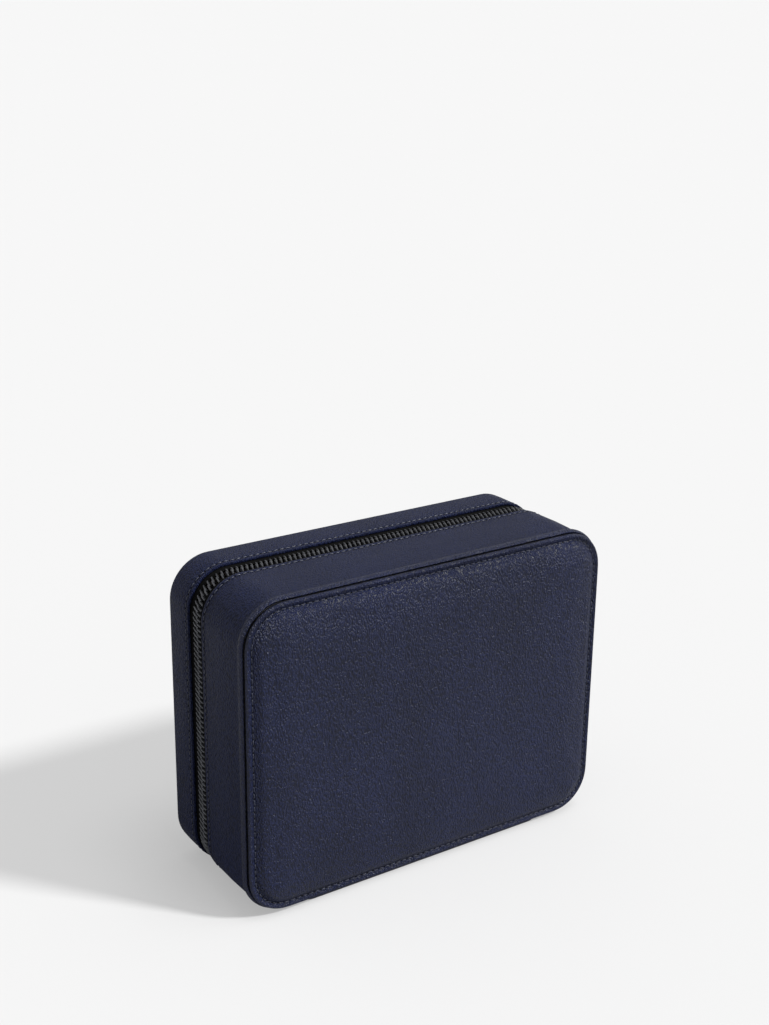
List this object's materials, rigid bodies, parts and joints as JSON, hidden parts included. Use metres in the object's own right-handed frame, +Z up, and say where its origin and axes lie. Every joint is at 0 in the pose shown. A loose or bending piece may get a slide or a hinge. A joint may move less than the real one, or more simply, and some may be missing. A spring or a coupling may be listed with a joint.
{
  "type": "travel jewelry case",
  "caption": "Zip-round leather travel jewelry case standing on its spine; opens like a book to a lined tray, ring rolls, snap straps and a pocket.",
  "frame": {"origin": "underside of the spine strip, on the floor, under the middle of the case", "axes": "+X to the right across the width, -Y out of the padded front panel, +Z up as the case stands on its spine"},
  "size_m": [0.2183, 0.0814, 0.166],
  "materials": {
    "outer_leather": "pebbled, satin",
    "board": "matt grey board",
    "foam": "matt foam",
    "suede_lining": "soft microsuede nap",
    "zip_tape": "woven",
    "zip_metal": "black nickel, satin",
    "strap_leather": "smooth, matt",
    "snap_metal": "gunmetal, polished",
    "elastic": "ribbed woven elastic"
  },
  "bodies": {
    "back_half": {"back_band": "outer_leather", "back_panel": "outer_leather", "back_board": "board", "back_fleece": "foam", "back_side_board": "board", "back_lining": "suede_lining", "back_tape": "zip_tape", "back_teeth": "zip_metal", "spine_strip": "outer_leather", "hinge_lining": "suede_lining", "necklace_pad": "suede_lining", "strap_roots": "strap_leather", "snap_studs": "snap_metal", "chain_pocket": "suede_lining", "pocket_elastic": "elastic"},
    "front_half": {"front_band": "outer_leather", "front_panel": "outer_leather", "front_foam": "foam", "front_board": "board", "front_fleece": "foam", "front_side_board": "board", "front_lining": "suede_lining", "front_tape": "zip_tape", "front_teeth": "zip_metal", "divider_long": "suede_lining", "divider_left_1": "suede_lining", "divider_left_2": "suede_lining", "divider_right": "suede_lining", "ring_roll_1": "suede_lining", "ring_roll_2": "suede_lining", "ring_roll_3": "suede_lining", "ring_roll_4": "suede_lining", "ring_roll_5": "suede_lining", "earring_bar": "strap_leather"},
    "slider": {"slider": "zip_metal"},
    "pull": {"pull": "zip_metal"},
    "strap_1": {"necklace_strap_1": "strap_leather", "snap_cap_1": "snap_metal", "snap_socket_1": "snap_metal"},
    "strap_2": {"necklace_strap_2": "strap_leather", "snap_cap_2": "snap_metal", "snap_socket_2": "snap_metal"},
    "strap_3": {"necklace_strap_3": "strap_leather", "snap_cap_3": "snap_metal", "snap_socket_3": "snap_metal"},
    "strap_4": {"necklace_strap_4": "strap_leather", "snap_cap_4": "snap_metal", "snap_socket_4": "snap_metal"}
  },
  "joints": [
    {"name": "case_hinge", "type": "hinge", "parent": "back_half", "child": "front_half", "pos_m": [0, 0.00965, -0.0002], "axis": [1, 0, 0], "range_deg": [0, 180], "deforming": ["spine_strip", "hinge_lining"]},
    {"name": "slider_travel", "type": "slide", "parent": "back_half", "child": "slider", "axis": [0, 0, 1], "range_m": [0, 0.08], "deforming": ["front_teeth", "back_teeth"]},
    {"name": "pull_swing", "type": "hinge", "parent": "slider", "child": "pull", "pos_m": [0.10965, 0.00965, 0.048], "axis": [0, -1, 0], "range_deg": [0, 150]},
    {"name": "strap_1_hinge", "type": "hinge", "parent": "back_half", "child": "strap_1", "pos_m": [-0.066, 0.02745, 0.137], "axis": [-1, 0, 0], "range_deg": [0, 110]},
    {"name": "strap_2_hinge", "type": "hinge", "parent": "back_half", "child": "strap_2", "pos_m": [-0.022, 0.02745, 0.137], "axis": [-1, 0, 0], "range_deg": [0, 110]},
    {"name": "strap_3_hinge", "type": "hinge", "parent": "back_half", "child": "strap_3", "pos_m": [0.022, 0.02745, 0.137], "axis": [-1, 0, 0], "range_deg": [0, 110]},
    {"name": "strap_4_hinge", "type": "hinge", "parent": "back_half", "child": "strap_4", "pos_m": [0.066, 0.02745, 0.137], "axis": [-1, 0, 0], "range_deg": [0, 110]}
  ]
}
